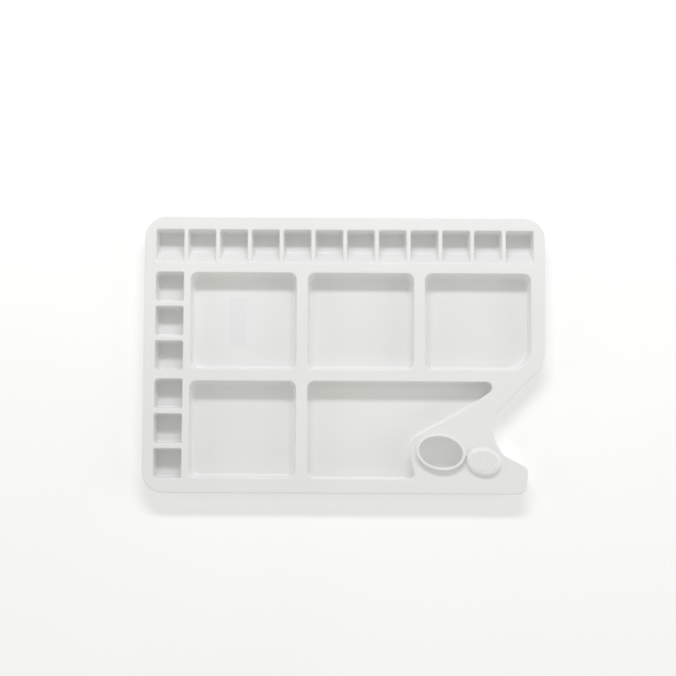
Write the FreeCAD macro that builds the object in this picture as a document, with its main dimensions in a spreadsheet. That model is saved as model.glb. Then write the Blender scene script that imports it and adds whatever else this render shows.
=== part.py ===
"""Moulded paint mixing palette with a thumb hole, lying flat on its rim.

Frame: +X along the length, +Y towards the row of twelve paint wells, +Z up out of the wells.
The origin is under the middle of the palette, on the surface that the rim stands on.
The moulding is one piece of white plastic. It is divided here into the regions that a
designer would detail one by one, and they meet face to face with no gap.
Millimetres throughout.
"""

import FreeCAD, Part
import os
from math import hypot

import Sketcher

SIZES = {
    # the whole palette
    "palette_length": 350.0,
    "palette_width": 241.2,
    "rim_height": 18.5,
    "deck_thickness": 1.6,
    "skirt_wall": 1.6,
    "rim_rounding": 1.3,
    "foot_rounding": 0.4,
    # plan outline: three rounded corners, a slanted shoulder, and a finger notch beside a short tip
    "outer_corner_radius": 19.0,
    "shoulder_corner_y": -7.2,
    "shoulder_corner_radius": 29.0,
    "notch_top_x": 129.3,
    "notch_top_y": -53.0,
    "notch_top_radius": 14.0,
    "notch_back_x": 129.6,
    "notch_back_y": -72.0,
    "notch_back_radius": 30.0,
    "notch_low_x": 137.0,
    "notch_low_y": -86.0,
    "notch_low_radius": 14.0,
    "tip_top_x": 159.3,
    "tip_top_y": -97.8,
    "tip_top_radius": 6.0,
    "tip_end_x": 157.7,
    "tip_end_radius": 8.0,
    # every well
    "well_depth": 16.0,
    "floor_thickness": 1.6,
    # the paint wells
    "paint_draft_angle": 4.3,
    "paint_wall": 1.2,
    "paint_corner_radius": 1.8,
    "paint_floor_radius": 1.4,
    "paint_lip_radius": 1.0,
    # the row of twelve
    "row_pitch": 27.8,
    "row_well_length": 24.4,
    "row_well_width": 28.8,
    "row_centre_y": 94.4,
    "row_border": 2.2,
    "row_ramp_run": 11.1,
    # the column of six
    "column_pitch": 30.15,
    "column_well_length": 24.5,
    "column_well_width": 25.6,
    "column_centre_x": -152.85,
    "column_top_y": 73.6,
    "column_border": 2.0,
    "column_group_gap": 3.0,
    "column_round_corner": 4.0,
    # the rectangular mixing wells
    "mixing_draft_angle": 5.5,
    "mixing_wall": 1.6,
    "mixing_border": 2.0,
    "mixing_length": 92.6,
    "mixing_corner_radius": 6.5,
    "mixing_far_corner_radius": 19.0,
    "mixing_floor_radius": 2.2,
    "mixing_lip_radius": 1.0,
    "mixing_left_x": -88.4,
    "mixing_middle_x": 14.0,
    "mixing_right_x": 116.2,
    "mixing_upper_y": 28.85,
    "mixing_upper_width": 84.3,
    "mixing_lower_y": -65.55,
    "mixing_lower_width": 83.7,
    # the large mixing well: its corners, clockwise from the upper left
    "pool_border": 3.5,
    "pool_draft_angle": 3.5,
    "pool_left_x": -32.4,
    "pool_top_y": -23.7,
    "pool_point_x": 138.5,
    "pool_point_radius": 4.8,
    "pool_slope_x": 100.2,
    "pool_slope_y": -50.5,
    "pool_slope_radius": 300.0,
    "pool_waist_x": 57.3,
    "pool_waist_top_y": -72.7,
    "pool_waist_top_radius": 14.0,
    "pool_waist_low_y": -89.5,
    "pool_waist_low_radius": 25.0,
    "pool_foot_x": 62.2,
    "pool_bottom_y": -107.4,
    "pool_foot_radius": 4.4,
    # the thumb hole and the collar round it
    "thumb_x": 83.3,
    "thumb_y": -84.5,
    "thumb_turn": -10.0,
    "thumb_length": 38.0,
    "thumb_width": 26.4,
    "collar_height": 5.0,
    "collar_top_wall": 2.3,
    "collar_foot_wall": 2.8,
    "collar_inner_radius": 0.9,
    "collar_outer_radius": 1.2,
    # the raised thumb rest
    "rest_x": 120.4,
    "rest_y": -92.5,
    "rest_turn": -12.0,
    "rest_length": 32.0,
    "rest_width": 25.0,
    "rest_top_length": 27.6,
    "rest_top_width": 20.8,
    "rest_height": 4.2,
    "rest_wall": 1.6,
    "rest_shoulder_radius": 1.8,
    "rib_pitch": 2.13,
    "rib_radius": 0.75,
    "rib_height": 0.6,
    "rib_field_length": 23.4,
    "rib_field_width": 16.6,
    # small things: the mark of the moulding gate, and the paper sticker on the back
    "gate_x": -87.2,
    "gate_y": -17.4,
    "gate_radius": 0.9,
    "gate_height": 0.3,
    "sticker_x": -94.0,
    "sticker_y": 28.9,
    "sticker_length": 14.0,
    "sticker_width": 41.0,
    "sticker_thickness": 0.1,
    "sticker_corner_radius": 1.0,
}

ROW_COUNT = 12
COLUMN_COUNT = 6
RIB_COUNT = 11
TOUCH = 0.01

# plan outline, clockwise from the upper left: x, y and rounding of each corner
OUTLINE = (
    ("-Sheet.palette_length / 2", "Sheet.palette_width / 2", "outer_corner_radius"),
    ("Sheet.palette_length / 2", "Sheet.palette_width / 2", "outer_corner_radius"),
    ("Sheet.palette_length / 2", "Sheet.shoulder_corner_y", "shoulder_corner_radius"),
    ("Sheet.notch_top_x", "Sheet.notch_top_y", "notch_top_radius"),
    ("Sheet.notch_back_x", "Sheet.notch_back_y", "notch_back_radius"),
    ("Sheet.notch_low_x", "Sheet.notch_low_y", "notch_low_radius"),
    ("Sheet.tip_top_x", "Sheet.tip_top_y", "tip_top_radius"),
    ("Sheet.tip_end_x", "-Sheet.palette_width / 2", "tip_end_radius"),
    ("-Sheet.palette_length / 2", "-Sheet.palette_width / 2", "outer_corner_radius"),
)

# corners of the large mixing well, clockwise, each with its rounding and whether it points
# into the well
POOL = (
    ("pool_left_x", "pool_top_y", "mixing_corner_radius", False),
    ("pool_point_x", "pool_top_y", "pool_point_radius", False),
    ("pool_slope_x", "pool_slope_y", "pool_slope_radius", False),
    ("pool_waist_x", "pool_waist_top_y", "pool_waist_top_radius", True),
    ("pool_waist_x", "pool_waist_low_y", "pool_waist_low_radius", True),
    ("pool_foot_x", "pool_bottom_y", "pool_foot_radius", False),
    ("pool_left_x", "pool_bottom_y", "mixing_corner_radius", False),
)

# rectangular mixing wells: number, cells of their centre and width, and the signs of the corner
# with the larger rounding
MIXING_WELLS = (
    (1, "mixing_left_x", "mixing_upper_y", "mixing_upper_width", None),
    (2, "mixing_middle_x", "mixing_upper_y", "mixing_upper_width", None),
    (3, "mixing_right_x", "mixing_upper_y", "mixing_upper_width", (1, -1)),
    (4, "mixing_left_x", "mixing_lower_y", "mixing_lower_width", None),
)
POOL_NUMBER = 5

# paint wells of the column whose outer corner is rounder, at the ends of the two groups of three
COLUMN_ROUND_CORNERS = {1: (-1, 1), 3: (-1, -1), 4: (-1, 1), 6: (-1, -1)}

document = FreeCAD.newDocument("mixing_palette")
sheet = document.addObject("Spreadsheet::Sheet", "Sheet")
sub_parts = []


def fill_sheet():
    """One named cell for each driving dimension."""
    for row, (alias, size) in enumerate(SIZES.items(), start=1):
        sheet.set(f"A{row}", alias)
        sheet.set(f"B{row}", str(size))
        sheet.setAlias(f"B{row}", alias)
    document.recompute()


def cell(alias):
    """The number in a named cell."""
    return float(sheet.get(alias))


# --- helpers shared by the sub-parts ---------------------------------------------------------


def new_body(label, x="0", y="0", z="0", turn=None):
    """An empty body whose place is bound to the sheet; turn names the cell of its angle about Z."""
    body = document.addObject("PartDesign::Body", label)
    body.Label = label
    if turn:
        body.Placement = FreeCAD.Placement(
            FreeCAD.Vector(), FreeCAD.Rotation(FreeCAD.Vector(0, 0, 1), cell(turn))
        )
    body.setExpression("Placement.Base.x", x)
    body.setExpression("Placement.Base.y", y)
    body.setExpression("Placement.Base.z", z)
    sub_parts.append(body)
    return body


def new_sketch(body, name, height="0"):
    """A sketch on the body's own XY plane, raised by height."""
    sketch = body.newObject("Sketcher::SketchObject", name)
    plane = next(f for f in body.Origin.OriginFeatures if f.Role == "XY_Plane")
    sketch.AttachmentSupport = (plane, [""])
    sketch.MapMode = "FlatFace"
    sketch.setExpression("AttachmentOffset.Base.z", height)
    return sketch


def draw_polygon(sketch, corners):
    """A closed outline whose corners are held at x and y, each an expression or a plain number."""
    first = sketch.GeometryCount
    places = []
    for corner in corners:
        x, y = (sheet.evalExpression(side) if isinstance(side, str) else side for side in corner)
        places.append(FreeCAD.Vector(x, y, 0))
    for index, start in enumerate(places):
        end = places[(index + 1) % len(places)]
        sketch.addGeometry(Part.LineSegment(start, end), False)
    for index, (corner, place) in enumerate(zip(corners, places)):
        following = first + (index + 1) % len(places)
        sketch.addConstraint(Sketcher.Constraint("Coincident", first + index, 2, following, 1))
        sides = (("DistanceX", corner[0], place.x), ("DistanceY", corner[1], place.y))
        for kind, where, value in sides:
            number = sketch.addConstraint(Sketcher.Constraint(kind, -1, 1, first + index, 1, value))
            if isinstance(where, str):
                sketch.setExpression(f"Constraints[{number}]", where)


def draw_rectangle(sketch, x, y, length, width):
    """A rectangle about the point x, y, as four held corners."""
    left, right = f"{x} - ({length}) / 2", f"{x} + ({length}) / 2"
    low, high = f"{y} - ({width}) / 2", f"{y} + ({width}) / 2"
    draw_polygon(sketch, ((left, high), (right, high), (right, low), (left, low)))


def draw_ellipse(sketch, length, width):
    """An ellipse about the sketch's origin with its long axis along X."""
    long_radius = sheet.evalExpression(length) / 2
    short_radius = sheet.evalExpression(width) / 2
    origin = FreeCAD.Vector()
    curve = sketch.addGeometry(Part.Ellipse(origin, long_radius, short_radius), False)
    sketch.exposeInternalGeometry(curve)
    long_axis = curve + 1
    short_axis = curve + 2
    sketch.addConstraint(Sketcher.Constraint("Coincident", curve, 3, -1, 1))
    sketch.addConstraint(Sketcher.Constraint("Horizontal", long_axis))
    for axis, expression in ((long_axis, length), (short_axis, width)):
        value = sheet.evalExpression(expression)
        number = sketch.addConstraint(Sketcher.Constraint("Distance", axis, 1, axis, 2, value))
        sketch.setExpression(f"Constraints[{number}]", expression)


def pad(body, name, sketch, thickness, downwards=False):
    """Raise or hang a sketch's outline by a thickness."""
    feature = body.newObject("PartDesign::Pad", name)
    feature.Profile = sketch
    feature.Reversed = downwards
    feature.setExpression("Length", thickness)
    return feature


def pocket(body, name, sketch, depth, upwards=False):
    """Cut a sketch's outline out of the body, and make sure that it cuts."""
    document.recompute()
    before = body.Shape.Volume
    feature = body.newObject("PartDesign::Pocket", name)
    feature.Profile = sketch
    feature.Reversed = upwards
    feature.setExpression("Length", depth)
    document.recompute()
    if body.Shape.Volume >= before:
        raise RuntimeError(f"{body.Label}: {name} cuts nothing")
    return feature


def round_edges(body, name, radius, wanted):
    """Round every edge of the body that passes the test; radius is an expression."""
    document.recompute()
    base = body.Tip
    names = [f"Edge{i}" for i, edge in enumerate(base.Shape.Edges, start=1) if wanted(edge)]
    if not names:
        raise RuntimeError(f"{body.Label}: no edge to round for {name}")
    feature = body.newObject("PartDesign::Fillet", name)
    feature.Base = (base, names)
    feature.setExpression("Radius", radius)
    document.recompute()
    return feature


def middle(edge):
    """The point halfway along an edge."""
    return edge.valueAt((edge.FirstParameter + edge.LastParameter) / 2)


def lies_at(shape, height):
    """Whether the whole of an edge or face lies at one height."""
    box = shape.BoundBox
    return abs(box.ZMin - height) < TOUCH and abs(box.ZMax - height) < TOUCH


def spans(shape, low, high):
    """Whether an edge or face runs from one height to another."""
    box = shape.BoundBox
    return abs(box.ZMin - low) < TOUCH and abs(box.ZMax - high) < TOUCH


def outset(corners, distance):
    """Move the sides of a clockwise outline outwards by a distance, and return its new corners."""
    moved = []
    for index, (x, y) in enumerate(corners):
        normals = []
        following = corners[(index + 1) % len(corners)]
        for start, end in ((corners[index - 1], (x, y)), ((x, y), following)):
            run = (end[0] - start[0], end[1] - start[1])
            length = hypot(*run)
            normals.append((-run[1] / length, run[0] / length))
        (ax, ay), (bx, by) = normals
        share = distance / (1 + ax * bx + ay * by)
        moved.append((x + (ax + bx) * share, y + (ay + by) * share))
    return moved


# --- the deck and the skirt under its edge ---------------------------------------------------


def round_outline_corners(body, low, high):
    """Give each upright corner of the plan outline its own rounding."""
    for index, (x, y, radius) in enumerate(OUTLINE, start=1):
        corner = FreeCAD.Vector(sheet.evalExpression(x), sheet.evalExpression(y), (low + high) / 2)
        round_edges(
            body,
            f"{body.Label}_corner_{index}",
            f"Sheet.{radius}",
            lambda edge, at=corner: spans(edge, low, high) and (middle(edge) - at).Length < TOUCH,
        )


def make_deck_plate():
    """The flat top, with a window for each group of wells and holes for the thumb and the rest."""
    body = new_body("deck_plate", z="Sheet.rim_height")
    thickness = cell("deck_thickness")
    outline = new_sketch(body, "deck_outline")
    draw_polygon(outline, [corner[:2] for corner in OUTLINE])
    pad(body, "deck_sheet", outline, "Sheet.deck_thickness", downwards=True)
    round_outline_corners(body, -thickness, 0)

    windows = new_sketch(body, "deck_windows")
    draw_rectangle(
        windows,
        "0",
        "Sheet.row_centre_y",
        f"Sheet.row_pitch * {ROW_COUNT}",
        "Sheet.row_well_width + 2 * Sheet.row_border",
    )
    for group in (0, 1):
        middle_well = 2 + 3 * group
        draw_rectangle(
            windows,
            "Sheet.column_centre_x",
            column_well_y(middle_well),
            "Sheet.column_well_length + 2 * Sheet.column_border",
            "Sheet.column_pitch * 3",
        )
    for _, x, y, width, _ in MIXING_WELLS:
        draw_rectangle(
            windows,
            f"Sheet.{x}",
            f"Sheet.{y}",
            "Sheet.mixing_length + 2 * Sheet.mixing_border",
            f"Sheet.{width} + 2 * Sheet.mixing_border",
        )
    draw_polygon(windows, outset(pool_corners(), cell("pool_border")))
    pocket(body, "deck_window_cut", windows, "Sheet.deck_thickness")

    for hole, x, y, turn, length, width in (
        ("thumb", "thumb_x", "thumb_y", "thumb_turn", "Sheet.thumb_length", "Sheet.thumb_width"),
        (
            "rest",
            "rest_x",
            "rest_y",
            "rest_turn",
            "Sheet.rest_length - 2 * Sheet.rest_wall",
            "Sheet.rest_width - 2 * Sheet.rest_wall",
        ),
    ):
        sketch = new_sketch(body, f"{hole}_hole")
        sketch.AttachmentOffset = FreeCAD.Placement(
            FreeCAD.Vector(), FreeCAD.Rotation(FreeCAD.Vector(0, 0, 1), cell(turn))
        )
        sketch.setExpression("AttachmentOffset.Base.x", f"Sheet.{x}")
        sketch.setExpression("AttachmentOffset.Base.y", f"Sheet.{y}")
        draw_ellipse(sketch, length, width)
        pocket(body, f"{hole}_hole_cut", sketch, "Sheet.deck_thickness")

    outer_length = cell("palette_length")
    outline_face = max(body.Tip.Shape.Faces, key=lambda face: face.BoundBox.ZMin * 1e6 + face.Area)
    outer_edges = [edge.hashCode() for edge in outline_face.OuterWire.Edges]
    if outline_face.BoundBox.XLength < outer_length - TOUCH:
        raise RuntimeError("deck_plate: the top face isn't the whole deck")
    round_edges(
        body, "deck_rim_rounding", "Sheet.rim_rounding", lambda edge: edge.hashCode() in outer_edges
    )


def make_rim_skirt():
    """The wall round the edge that the palette stands on, open above and below."""
    body = new_body("rim_skirt")
    height = cell("rim_height") - cell("deck_thickness")
    outline = new_sketch(body, "skirt_outline")
    draw_polygon(outline, [corner[:2] for corner in OUTLINE])
    pad(body, "skirt_block", outline, "Sheet.rim_height - Sheet.deck_thickness")
    round_outline_corners(body, 0, height)
    document.recompute()
    solid = body.Tip
    flat = [
        f"Face{i}"
        for i, face in enumerate(solid.Shape.Faces, start=1)
        if face.BoundBox.ZLength < TOUCH
    ]
    shell = body.newObject("PartDesign::Thickness", "skirt_hollow")
    shell.Base = (solid, flat)
    shell.Reversed = True
    shell.Join = 1
    shell.setExpression("Value", "Sheet.skirt_wall")
    document.recompute()
    foot = min(shell.Shape.Faces, key=lambda face: face.BoundBox.ZMax)
    outer_edges = [edge.hashCode() for edge in foot.OuterWire.Edges]
    round_edges(
        body, "skirt_foot_rounding", "Sheet.foot_rounding", lambda edge: edge.hashCode() in outer_edges
    )


# --- wells ------------------------------------------------------------------------------------


def column_well_y(number):
    """Height up the palette of the middle of one well of the column, as an expression.

    The column is two groups of three, with a slightly wider land between the groups.
    """
    steps = number - 0.5
    group = (number - 1) // 3
    return f"Sheet.column_top_y - {steps} * Sheet.column_pitch - {group} * Sheet.column_group_gap"


def wedge(body, kind, name, top, foot, height):
    """A block with flat sloping sides under the deck level.

    top and foot are the x and y limits, as expressions, at the upper and lower ends.
    """
    feature = body.newObject(f"PartDesign::{kind}Wedge", name)
    down = FreeCAD.Rotation(FreeCAD.Vector(1, 0, 0), -90)
    feature.Placement = FreeCAD.Placement(FreeCAD.Vector(), down)
    limits = dict(zip(("Xmin", "Xmax", "Zmin", "Zmax"), top))
    limits.update(zip(("X2min", "X2max", "Z2min", "Z2max"), foot))
    limits.update(Ymin="0", Ymax=height)
    for name_of_limit, expression in limits.items():
        feature.setExpression(name_of_limit, expression)
    return feature


def make_cup(label, x, y, length, width, tile, family, ramp=None, round_corner=None):
    """One rectangular well: a tile of the deck with a drafted cup hanging from it.

    length, width and tile are expressions for the opening and the tile. family is "paint" or
    "mixing" and chooses the cells of the wall, the draft and the roundings. ramp is the run of a
    sloping face that takes the place of the wall on the -Y side. round_corner is a corner's
    signs with the cell of its own rounding.
    """
    body = new_body(label, x, y, "Sheet.rim_height")
    depth = cell("well_depth")
    foot_height = cell("floor_thickness")
    deck = cell("deck_thickness")
    wall = f"Sheet.{family}_wall"

    land = new_sketch(body, f"{label}_land")
    draw_rectangle(land, "0", "0", *tile)
    pad(body, f"{label}_tile", land, "Sheet.deck_thickness", downwards=True)

    # the slopes of the walls, as sideways run for each millimetre of depth
    slope = f"tan(Sheet.{family}_draft_angle * 1deg)"
    near_slope = f"({ramp} / Sheet.well_depth)" if ramp else slope
    near_wall = f"({wall} * sqrt(1 + {near_slope}^2))"
    full = "(Sheet.well_depth + Sheet.floor_thickness)"
    half_x, half_y = f"({length} / 2)", f"({width} / 2)"

    def limits(level, thickness, near_thickness):
        """The x and y limits of a block at one depth, outside the cavity by a wall's thickness."""
        return (
            f"-{half_x} - {thickness} + {level} * {slope}",
            f"{half_x} + {thickness} - {level} * {slope}",
            f"-{half_y} - {near_thickness} + {level} * {near_slope}",
            f"{half_y} + {thickness} - {level} * {slope}",
        )

    outer_top, outer_foot = limits("0", wall, near_wall), limits(full, wall, near_wall)
    wedge(body, "Additive", f"{label}_cup", outer_top, outer_foot, full)
    inner_top, inner_foot = limits("0", "0", "0"), limits("Sheet.well_depth", "0", "0")
    wedge(body, "Subtractive", f"{label}_cavity", inner_top, inner_foot, "Sheet.well_depth")

    def is_special(edge):
        """Whether an edge belongs to the corner that has its own rounding."""
        point = middle(edge)
        return bool(round_corner) and point.x * round_corner[0] > 0 and point.y * round_corner[1] > 0

    for name, low, high, extra in (
        ("cavity", -depth, 0, "0"),
        ("cup", -(depth + foot_height), -deck, wall),
    ):
        special = [middle(edge) for edge in sloping_edges(body, low, high) if is_special(edge)]
        round_edges(
            body,
            f"{label}_{name}_corners",
            f"Sheet.{family}_corner_radius + {extra}",
            lambda edge, a=low, b=high: spans(edge, a, b) and not is_special(edge),
        )
        if special:
            round_edges(
                body,
                f"{label}_{name}_round_corner",
                f"Sheet.{round_corner[2]} + {extra}",
                lambda edge, at=special[0]: (middle(edge) - at).Length < TOUCH,
            )
    finish_cup(body, label, family)


def sloping_edges(body, low, high):
    """The corner edges of a cup or cavity that run from one height to another."""
    document.recompute()
    return [edge for edge in body.Tip.Shape.Edges if spans(edge, low, high)]


def finish_cup(body, label, family):
    """Round the foot of the cavity, the lip at the deck and the bottom edge outside."""
    floor_level = -cell("well_depth")
    under_level = floor_level - cell("floor_thickness")
    floor_radius = f"Sheet.{family}_floor_radius"
    round_edges(body, f"{label}_floor", floor_radius, lambda edge: lies_at(edge, floor_level))
    top = next(face for face in body.Tip.Shape.Faces if face.BoundBox.ZMin > -TOUCH)
    outer = [edge.hashCode() for edge in top.OuterWire.Edges]
    inner = [edge.hashCode() for edge in top.Edges if edge.hashCode() not in outer]
    round_edges(
        body,
        f"{label}_lip",
        f"Sheet.{family}_lip_radius",
        lambda edge: edge.hashCode() in inner,
    )
    round_edges(
        body,
        f"{label}_underside",
        f"{floor_radius} + Sheet.{family}_wall / 2",
        lambda edge: lies_at(edge, under_level),
    )


def make_paint_wells():
    """The row of twelve wells with a ramp, and the column of six without."""
    for number in range(1, ROW_COUNT + 1):
        steps = number - (ROW_COUNT + 1) / 2
        make_cup(
            f"paint_well_top_{number:02d}",
            f"{steps} * Sheet.row_pitch",
            "Sheet.row_centre_y",
            "Sheet.row_well_length",
            "Sheet.row_well_width",
            ("Sheet.row_pitch", "Sheet.row_well_width + 2 * Sheet.row_border"),
            "paint",
            ramp="Sheet.row_ramp_run",
        )
    for number in range(1, COLUMN_COUNT + 1):
        signs = COLUMN_ROUND_CORNERS.get(number)
        make_cup(
            f"paint_well_left_{number:02d}",
            "Sheet.column_centre_x",
            column_well_y(number),
            "Sheet.column_well_length",
            "Sheet.column_well_width",
            ("Sheet.column_well_length + 2 * Sheet.column_border", "Sheet.column_pitch"),
            "paint",
            round_corner=signs and (*signs, "column_round_corner"),
        )


def make_mixing_wells():
    """The four rectangular mixing wells."""
    for number, x, y, width, far_corner in MIXING_WELLS:
        border = "2 * Sheet.mixing_border"
        make_cup(
            f"mixing_well_{number}",
            f"Sheet.{x}",
            f"Sheet.{y}",
            "Sheet.mixing_length",
            f"Sheet.{width}",
            (f"Sheet.mixing_length + {border}", f"Sheet.{width} + {border}"),
            "mixing",
            round_corner=far_corner and (*far_corner, "mixing_far_corner_radius"),
        )


def pool_corners():
    """The corners of the large mixing well at deck level."""
    return [(cell(x), cell(y)) for x, y, _, _ in POOL]


def make_pool_well():
    """The large mixing well, whose lower right side follows the shoulder and the thumb hole."""
    label = f"mixing_well_{POOL_NUMBER}"
    body = new_body(label, z="Sheet.rim_height")
    depth = cell("well_depth")
    foot_height = cell("floor_thickness")
    wall = cell("mixing_wall")
    deck = cell("deck_thickness")
    corners = pool_corners()

    land = new_sketch(body, "pool_land")
    draw_polygon(land, outset(corners, cell("pool_border")))
    pad(body, "pool_tile", land, "Sheet.deck_thickness", downwards=True)
    cup_outline = new_sketch(body, "pool_cup_outline")
    draw_polygon(cup_outline, outset(corners, wall))
    pad(body, "pool_cup", cup_outline, "Sheet.well_depth + Sheet.floor_thickness", downwards=True)
    opening = new_sketch(body, "pool_opening")
    draw_polygon(opening, [(f"Sheet.{x}", f"Sheet.{y}") for x, y, _, _ in POOL])
    pocket(body, "pool_cavity", opening, "Sheet.well_depth")

    for name, low, high, offset in (
        ("cavity", -depth, 0, 0.0),
        ("cup", -(depth + foot_height), -deck, wall),
    ):
        for index, (x, y) in enumerate(outset(corners, offset)):
            _, _, radius, points_in = POOL[index]
            sign = "-" if points_in else "+"
            corner = FreeCAD.Vector(x, y, 0)
            round_edges(
                body,
                f"pool_{name}_corner_{index + 1}",
                f"Sheet.{radius} {sign} {offset}",
                lambda edge, at=corner, a=low, b=high: spans(edge, a, b)
                and flat_distance(edge, at) < TOUCH,
            )
        slope_walls(body, f"pool_{name}_draft", low, high)
    finish_cup(body, label, "mixing")


def slope_walls(body, name, low, high):
    """Lean the upright walls between two heights inwards by the draft angle, from their upper end."""
    base = body.Tip
    faces = base.Shape.Faces
    walls = [f"Face{i}" for i, face in enumerate(faces, start=1) if spans(face, low, high)]
    upper = next(f"Face{i}" for i, face in enumerate(faces, start=1) if lies_at(face, high))
    draft = body.newObject("PartDesign::Draft", name)
    draft.Base = (base, walls)
    draft.NeutralPlane = (base, [upper])
    draft.Reversed = True
    draft.setExpression("Angle", "Sheet.pool_draft_angle")
    document.recompute()


def flat_distance(edge, point):
    """How far the upper end of an edge lies from a point, seen from above."""
    upper = max((vertex.Point for vertex in edge.Vertexes), key=lambda end: end.z)
    return hypot(upper.x - point.x, upper.y - point.y)


# --- thumb hole, thumb rest and small things --------------------------------------------------


def make_thumb_hole_collar():
    """The raised ring round the thumb hole, a little wider at its foot."""
    body = new_body(
        "thumb_hole_collar", "Sheet.thumb_x", "Sheet.thumb_y", "Sheet.rim_height", turn="thumb_turn"
    )
    height = cell("collar_height")
    foot = new_sketch(body, "collar_foot")
    draw_ellipse(
        foot,
        "Sheet.thumb_length + 2 * Sheet.collar_foot_wall",
        "Sheet.thumb_width + 2 * Sheet.collar_foot_wall",
    )
    top = new_sketch(body, "collar_top", "Sheet.collar_height")
    draw_ellipse(
        top,
        "Sheet.thumb_length + 2 * Sheet.collar_top_wall",
        "Sheet.thumb_width + 2 * Sheet.collar_top_wall",
    )
    wall = body.newObject("PartDesign::AdditiveLoft", "collar_wall")
    wall.Profile = foot
    wall.Sections = [top]
    wall.Ruled = True
    hole = new_sketch(body, "collar_hole")
    draw_ellipse(hole, "Sheet.thumb_length", "Sheet.thumb_width")
    pocket(body, "collar_hole_cut", hole, "Sheet.collar_height", upwards=True)
    inner_length = cell("thumb_length")
    for name, is_inner in (("inner", True), ("outer", False)):
        round_edges(
            body,
            f"collar_{name}_rounding",
            f"Sheet.collar_{name}_radius",
            lambda edge, inside=is_inner: lies_at(edge, height)
            and (edge.BoundBox.XLength < inner_length + 2 * TOUCH) == inside,
        )


def make_thumb_rest():
    """The raised pad beside the hole, hollow underneath."""
    body = new_body(
        "thumb_rest_pad", "Sheet.rest_x", "Sheet.rest_y", "Sheet.rim_height", turn="rest_turn"
    )
    height = cell("rest_height")
    foot = new_sketch(body, "rest_foot")
    draw_ellipse(foot, "Sheet.rest_length", "Sheet.rest_width")
    top = new_sketch(body, "rest_top", "Sheet.rest_height")
    draw_ellipse(top, "Sheet.rest_top_length", "Sheet.rest_top_width")
    mound = body.newObject("PartDesign::AdditiveLoft", "rest_mound")
    mound.Profile = foot
    mound.Sections = [top]
    mound.Ruled = True
    hollow_foot = new_sketch(body, "rest_hollow_foot")
    draw_ellipse(
        hollow_foot,
        "Sheet.rest_length - 2 * Sheet.rest_wall",
        "Sheet.rest_width - 2 * Sheet.rest_wall",
    )
    hollow_top = new_sketch(body, "rest_hollow_top", "Sheet.rest_height - Sheet.rest_wall")
    draw_ellipse(
        hollow_top,
        "Sheet.rest_top_length - 2 * Sheet.rest_wall",
        "Sheet.rest_top_width - 2 * Sheet.rest_wall",
    )
    hollow = body.newObject("PartDesign::SubtractiveLoft", "rest_hollow")
    hollow.Profile = hollow_foot
    hollow.Sections = [hollow_top]
    hollow.Ruled = True
    round_edges(
        body, "rest_shoulder", "Sheet.rest_shoulder_radius", lambda edge: lies_at(edge, height)
    )


def make_thumb_rest_ribs():
    """Low round-topped ribs across the rest, trimmed to an oval field, as separate solids."""
    turn = FreeCAD.Rotation(FreeCAD.Vector(0, 0, 1), cell("rest_turn"))
    centre = FreeCAD.Vector(cell("rest_x"), cell("rest_y"), cell("rim_height") + cell("rest_height"))
    along = FreeCAD.Rotation(FreeCAD.Vector(1, 0, 0), -90)
    rods = []
    for index in range(RIB_COUNT):
        rod = document.addObject("Part::Cylinder", f"rib_rod_{index + 1}")
        rod.setExpression("Radius", "Sheet.rib_radius")
        rod.setExpression("Height", "Sheet.rib_field_width")
        steps = index - (RIB_COUNT - 1) / 2
        start = FreeCAD.Vector(
            steps * cell("rib_pitch"),
            -cell("rib_field_width") / 2,
            cell("rib_height") - cell("rib_radius"),
        )
        rod.Placement = FreeCAD.Placement(centre, turn).multiply(FreeCAD.Placement(start, along))
        rods.append(rod)
    rib_rods = document.addObject("Part::Compound", "rib_rods")
    rib_rods.Links = rods
    oval = document.addObject("Part::Ellipse", "rib_field_oval")
    oval.setExpression("MajorRadius", "Sheet.rib_field_length / 2")
    oval.setExpression("MinorRadius", "Sheet.rib_field_width / 2")
    oval.Placement = FreeCAD.Placement(centre, turn)
    field = document.addObject("Part::Extrusion", "rib_field")
    field.Base = oval
    field.Solid = True
    field.DirMode = "Custom"
    field.Dir = FreeCAD.Vector(0, 0, 1)
    field.setExpression("LengthFwd", "2 * Sheet.rib_height")
    ribs = document.addObject("Part::MultiCommon", "thumb_rest_ribs")
    ribs.Label = "thumb_rest_ribs"
    ribs.Shapes = [rib_rods, field]
    sub_parts.append(ribs)


def make_gate_mark():
    """The small round mark that the moulding gate leaves on the land between two mixing wells."""
    body = new_body("gate_mark", "Sheet.gate_x", "Sheet.gate_y", "Sheet.rim_height")
    height = cell("gate_height")
    disc = body.newObject("PartDesign::AdditiveCylinder", "gate_disc")
    disc.setExpression("Radius", "Sheet.gate_radius")
    disc.setExpression("Height", "Sheet.gate_height")
    round_edges(body, "gate_edge", "Sheet.gate_height * 0.8", lambda edge: lies_at(edge, height))


def make_back_sticker():
    """A blank paper sticker on the underside of one mixing well's floor."""
    floor_top = "Sheet.rim_height - Sheet.well_depth"
    under_floor = f"{floor_top} - Sheet.floor_thickness - Sheet.sticker_thickness"
    body = new_body("back_sticker", "Sheet.sticker_x", "Sheet.sticker_y", under_floor)
    outline = new_sketch(body, "sticker_outline")
    draw_rectangle(outline, "0", "0", "Sheet.sticker_length", "Sheet.sticker_width")
    pad(body, "sticker_paper", outline, "Sheet.sticker_thickness")
    thickness = cell("sticker_thickness")
    round_edges(
        body, "sticker_corners", "Sheet.sticker_corner_radius", lambda edge: spans(edge, 0, thickness)
    )


# --- make everything, check it and write it ---------------------------------------------------


def check_document():
    """Stop on any failed object, empty shape or invalid shape."""
    document.recompute()
    for item in document.Objects:
        if "Invalid" in item.State or "Error" in item.State:
            raise RuntimeError(f"{item.Label} failed: {item.State}")
    for sub_part in sub_parts:
        if sub_part.Shape.isNull() or not sub_part.Shape.isValid():
            raise RuntimeError(f"{sub_part.Label} has no valid shape")


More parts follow.
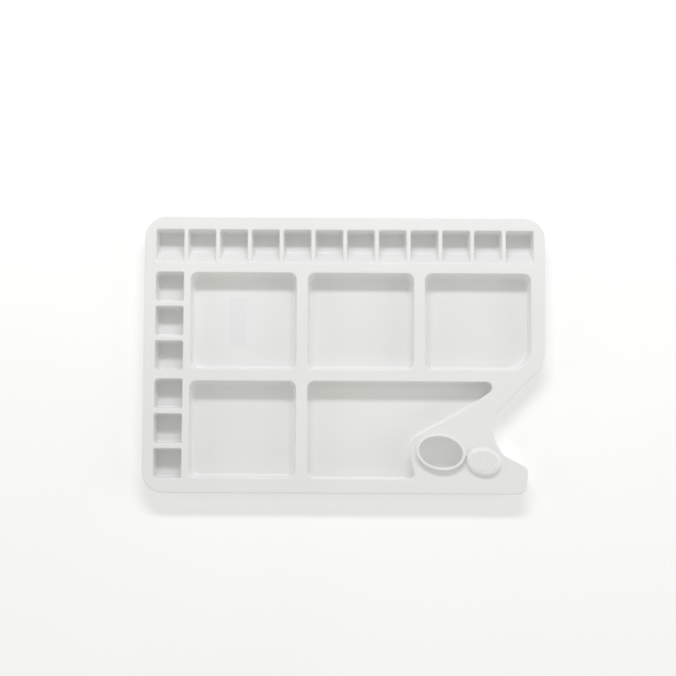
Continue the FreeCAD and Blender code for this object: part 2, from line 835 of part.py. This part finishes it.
def write_parts():
    """One STEP file for each sub-part, named after it."""
    os.makedirs("parts", exist_ok=True)
    for sub_part in sub_parts:
        sub_part.Shape.exportStep(os.path.join("parts", f"{sub_part.Label}.step"))


fill_sheet()
make_deck_plate()
make_rim_skirt()
make_paint_wells()
make_mixing_wells()
make_pool_well()
make_thumb_hole_collar()
make_thumb_rest()
make_thumb_rest_ribs()
make_gate_mark()
make_back_sticker()
check_document()
write_parts()
for sub_part in sub_parts:
    print(f"{sub_part.Label}: {len(sub_part.Shape.Solids)} solid(s), {sub_part.Shape.Volume:.1f} mm3")
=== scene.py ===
"""Looks of the moulded mixing palette: white plastic, blank sticker, studio light and camera."""
from math import radians

import bpy
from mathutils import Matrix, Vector


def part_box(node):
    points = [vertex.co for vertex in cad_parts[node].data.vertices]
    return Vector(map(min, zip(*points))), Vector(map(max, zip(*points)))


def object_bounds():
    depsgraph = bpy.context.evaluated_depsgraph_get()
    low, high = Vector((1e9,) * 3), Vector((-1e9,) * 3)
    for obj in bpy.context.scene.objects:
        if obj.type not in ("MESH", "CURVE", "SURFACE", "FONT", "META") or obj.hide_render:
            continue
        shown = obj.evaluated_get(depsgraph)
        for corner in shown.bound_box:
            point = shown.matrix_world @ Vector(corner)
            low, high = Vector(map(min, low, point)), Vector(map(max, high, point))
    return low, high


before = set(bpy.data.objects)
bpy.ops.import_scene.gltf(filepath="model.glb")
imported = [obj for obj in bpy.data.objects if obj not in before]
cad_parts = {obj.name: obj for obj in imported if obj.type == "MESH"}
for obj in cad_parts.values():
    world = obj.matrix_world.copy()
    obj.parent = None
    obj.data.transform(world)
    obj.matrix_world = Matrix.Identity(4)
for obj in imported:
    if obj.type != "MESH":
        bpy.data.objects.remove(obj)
cad_low, cad_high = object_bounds()
scene = bpy.context.scene

MM = 0.001

# --- camera and light, in metres from the palette's origin on the table ----------------------

CAMERA_PLACE = (-0.0083, -0.0742, 1.1511)
CAMERA_TURN = (4.454, -0.149, 0.299)
LENS = 69.55
SENSOR = 36.0

TABLE_SIZE = 6.0
TABLE_GLOW = 0.22
LIGHTS = (
    # name, place, size, energy, colour; each points at the middle, level with the collar's top
    ("key", (0.0, 0.745, 0.75), (0.7, 0.13), 5.3, (0.957, 0.956, 1.0)),
    ("left", (-1.3, -0.1, 0.6), (0.8, 0.8), 2.7, (0.967, 0.985, 1.0)),
    ("right", (1.3, -0.1, 0.6), (0.8, 0.8), 3.6, (0.993, 1.0, 0.995)),
    ("front", (0.0, -1.2, 0.6), (1.2, 0.6), 1.6, (1.0, 0.93, 0.859)),
)
WORLD_COLOUR = (0.997, 1.0, 0.955)
WORLD_STRENGTH = 0.50


def make_camera():
    """The camera nearly overhead, at the viewing angle of the picture."""
    data = bpy.data.cameras.new("camera")
    data.lens = LENS
    data.sensor_width = SENSOR
    data.clip_start = 0.05
    data.clip_end = 20.0
    camera = bpy.data.objects.new("camera", data)
    camera.location = CAMERA_PLACE
    camera.rotation_euler = [radians(angle) for angle in CAMERA_TURN]
    scene.collection.objects.link(camera)
    scene.camera = camera


def make_light(name, place, size, energy, colour):
    """A rectangular soft light aimed at the middle of the palette."""
    data = bpy.data.lights.new(f"{name}_light", "AREA")
    data.shape = "RECTANGLE"
    data.size, data.size_y = size
    data.energy = energy
    data.color = colour
    light = bpy.data.objects.new(f"{name}_light", data)
    light.location = place
    target = Vector((0.0, 0.0, cad_high.z))
    light.rotation_euler = (Vector(place) - target).to_track_quat("Z", "Y").to_euler()
    scene.collection.objects.link(light)


def make_world():
    """An even pale surround."""
    world = bpy.data.worlds.new("surround")
    world.use_nodes = True
    background = world.node_tree.nodes["Background"]
    background.inputs["Color"].default_value = (*WORLD_COLOUR, 1.0)
    background.inputs["Strength"].default_value = WORLD_STRENGTH
    scene.world = world


# --- small helpers for shader nodes ------------------------------------------------------------


class Shader:
    """A material's node tree with short calls for the nodes used here."""

    def __init__(self, name):
        self.material = bpy.data.materials.new(name)
        self.material.use_nodes = True
        self.tree = self.material.node_tree
        self.surface = self.tree.nodes["Principled BSDF"]
        self.place = self.node("ShaderNodeTexCoord").outputs["Object"]

    def node(self, kind, **settings):
        made = self.tree.nodes.new(kind)
        for key, value in settings.items():
            setattr(made, key, value)
        return made

    def put(self, socket, value):
        """Link an output to a socket, or set the socket's own number or colour."""
        if isinstance(value, bpy.types.NodeSocket):
            self.tree.links.new(value, socket)
        else:
            socket.default_value = value

    def mapped(self, turn, scale):
        """The position turned, then stretched."""
        mapping = self.node("ShaderNodeMapping")
        self.put(mapping.inputs["Vector"], self.place)
        mapping.inputs["Rotation"].default_value = [radians(angle) for angle in turn]
        mapping.inputs["Scale"].default_value = scale
        return mapping.outputs["Vector"]

    def noise(self, scale, detail=2.0, roughness=0.5, vector=None):
        texture = self.node("ShaderNodeTexNoise")
        self.put(texture.inputs["Vector"], vector or self.place)
        texture.inputs["Scale"].default_value = scale
        texture.inputs["Detail"].default_value = detail
        texture.inputs["Roughness"].default_value = roughness
        return texture.outputs["Fac"]

    def ease(self, value, low, high, out_low=0.0, out_high=1.0):
        """A smooth step from out_low to out_high as the value goes from low to high."""
        step = self.node("ShaderNodeMapRange", interpolation_type="SMOOTHSTEP")
        self.put(step.inputs["Value"], value)
        step.inputs["From Min"].default_value = low
        step.inputs["From Max"].default_value = high
        step.inputs["To Min"].default_value = out_low
        step.inputs["To Max"].default_value = out_high
        return step.outputs["Result"]

    def calc(self, operation, first, second=0.0):
        made = self.node("ShaderNodeMath", operation=operation)
        self.put(made.inputs[0], first)
        self.put(made.inputs[1], second)
        return made.outputs["Value"]

    def blend(self, share, first, second):
        """A colour between two colours."""
        made = self.node("ShaderNodeMix", data_type="RGBA")
        self.put(made.inputs["Factor"], share)
        for socket, colour in ((made.inputs[6], first), (made.inputs[7], second)):
            self.put(socket, colour if isinstance(colour, bpy.types.NodeSocket) else (*colour, 1.0))
        return made.outputs[2]

    def bump(self, height, strength, distance, normal=None):
        made = self.node("ShaderNodeBump")
        self.put(made.inputs["Height"], height)
        made.inputs["Strength"].default_value = strength
        made.inputs["Distance"].default_value = distance
        if normal:
            self.put(made.inputs["Normal"], normal)
        return made.outputs["Normal"]


# --- materials -----------------------------------------------------------------------------------

SCRATCH_TURNS = (17.0, -38.0, 71.0)
WHITE_BRIGHT = (0.860, 0.860, 0.852)
WHITE_DULL = (0.825, 0.826, 0.820)
GRIME = (0.50, 0.49, 0.47)
GHOST_TINT = (0.75, 0.775, 0.79)
PAPER_DARK = (0.52, 0.565, 0.60)
PAPER_LIGHT = (0.60, 0.64, 0.67)
TABLE_DARK = (0.80, 0.80, 0.80)
TABLE_LIGHT = (0.82, 0.82, 0.82)
FLOOR_THICKNESS = 1.6 * MM
GHOST_REACH = 0.2 * MM
GHOST_SOFTNESS = 0.8 * MM


def box_mask(shader, low, high, soft):
    """1 inside a box of the frame, falling to 0 over the soft distance outside it."""
    parts = shader.node("ShaderNodeSeparateXYZ")
    shader.put(parts.inputs[0], shader.place)
    mask = 1.0
    for axis in range(3):
        rise = shader.ease(parts.outputs[axis], low[axis] - soft, low[axis])
        fall = shader.ease(parts.outputs[axis], high[axis], high[axis] + soft, 1.0, 0.0)
        mask = shader.calc("MULTIPLY", shader.calc("MULTIPLY", rise, fall), mask)
    return mask


def scratches(shader):
    """Sparse hairline scratches in a few directions, as a 0 to 1 mask."""
    total = 0.0
    patches = shader.ease(shader.noise(16.0, 3.0), 0.48, 0.70)
    for turn in SCRATCH_TURNS:
        streaks = shader.noise(1.0, 2.0, 0.5, shader.mapped((0, 0, turn), (22.0, 1300.0, 22.0)))
        lines = shader.ease(streaks, 0.66, 0.74)
        total = shader.calc("MAXIMUM", total, lines)
    return shader.calc("MULTIPLY", total, patches)


def make_plastic():
    """Bright white moulded plastic: clean, semi-gloss, lightly marked by use."""
    shader = Shader("white_plastic")
    surface = shader.surface
    marks = scratches(shader)
    tone = shader.ease(shader.noise(7.0, 3.0), 0.3, 0.7)
    colour = shader.blend(tone, WHITE_DULL, WHITE_BRIGHT)
    colour = shader.blend(shader.calc("MULTIPLY", marks, 0.22), colour, GRIME)
    specks = shader.ease(shader.noise(420.0, 1.0), 0.80, 0.86)
    colour = shader.blend(shader.calc("MULTIPLY", specks, 0.25), colour, GRIME)

    # the sticker on the back shows faintly through the floor of its well
    sticker_low, sticker_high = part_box("back_sticker")
    floor_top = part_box("mixing_well_1")[0].z + FLOOR_THICKNESS
    ghost = box_mask(
        shader,
        (sticker_low.x, sticker_low.y, floor_top - GHOST_REACH),
        (sticker_high.x, sticker_high.y, floor_top + GHOST_REACH),
        GHOST_SOFTNESS,
    )
    colour = shader.blend(shader.calc("MULTIPLY", ghost, 0.3), colour, GHOST_TINT)
    shader.put(surface.inputs["Base Color"], colour)

    gloss = shader.ease(shader.noise(38.0, 4.0, 0.6), 0.25, 0.75, 0.30, 0.40)
    dulled = shader.calc("MULTIPLY", marks, 0.25)
    shader.put(surface.inputs["Roughness"], shader.calc("ADD", gloss, dulled))
    surface.inputs["IOR"].default_value = 1.52
    ripple = shader.bump(shader.noise(55.0, 2.0), 0.10, 0.3 * MM)
    grain = shader.bump(shader.noise(1400.0, 2.0), 0.06, 0.05 * MM, ripple)
    cut = shader.bump(marks, 0.25, -0.02 * MM, grain)
    shader.put(surface.inputs["Normal"], cut)
    return shader.material


def make_paper():
    """The blank sticker: matt coated paper with a faint fibre."""
    shader = Shader("sticker_paper")
    surface = shader.surface
    fibre = shader.noise(1.0, 4.0, 0.6, shader.mapped((0, 0, 12), (1800.0, 500.0, 800.0)))
    cloud = shader.noise(90.0, 3.0)
    shade = shader.calc("MULTIPLY", shader.calc("ADD", fibre, cloud), 0.5)
    colour = shader.blend(shader.ease(shade, 0.35, 0.65), PAPER_DARK, PAPER_LIGHT)
    shader.put(surface.inputs["Base Color"], colour)
    shader.put(surface.inputs["Roughness"], shader.ease(shade, 0.3, 0.7, 0.55, 0.7))
    shader.put(surface.inputs["Normal"], shader.bump(fibre, 0.3, 0.02 * MM))
    return shader.material


def make_table_material():
    """A plain pale sheet under the palette."""
    shader = Shader("pale_table")
    surface = shader.surface
    tone = shader.ease(shader.noise(3.0, 2.0), 0.3, 0.7)
    shader.put(surface.inputs["Base Color"], shader.blend(tone, TABLE_DARK, TABLE_LIGHT))
    surface.inputs["Roughness"].default_value = 0.75
    surface.inputs["Emission Color"].default_value = (1.0, 0.99, 0.97, 1.0)
    surface.inputs["Emission Strength"].default_value = TABLE_GLOW
    return shader.material


# --- the palette and the table ---------------------------------------------------------------


WELD_REACH = 0.002 * MM
SHARP_ANGLE = radians(32.0)


def dress(node, material):
    """Give a CAD node its material, and smooth its curved faces while its flat ones stay flat."""
    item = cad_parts[node]
    item.data.materials.clear()
    item.data.materials.append(material)
    weld = item.modifiers.new("join_faces", "WELD")
    weld.merge_threshold = WELD_REACH
    split = item.modifiers.new("keep_edges", "EDGE_SPLIT")
    split.split_angle = SHARP_ANGLE
    normals = item.modifiers.new("flat_stays_flat", "WEIGHTED_NORMAL")
    normals.keep_sharp = True
    normals.weight = 50


def make_table():
    """The surface that the rim stands on."""
    half = TABLE_SIZE / 2
    mesh = bpy.data.meshes.new("table")
    corners = [(-half, -half, 0), (half, -half, 0), (half, half, 0), (-half, half, 0)]
    mesh.from_pydata(corners, [], [(0, 1, 2, 3)])
    mesh.materials.append(make_table_material())
    table = bpy.data.objects.new("table", mesh)
    scene.collection.objects.link(table)


make_camera()
make_world()
for light in LIGHTS:
    make_light(*light)
make_table()

plastic = make_plastic()
paper = make_paper()
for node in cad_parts:
    dress(node, paper if node == "back_sticker" else plastic)

scene.view_settings.view_transform = "Standard"
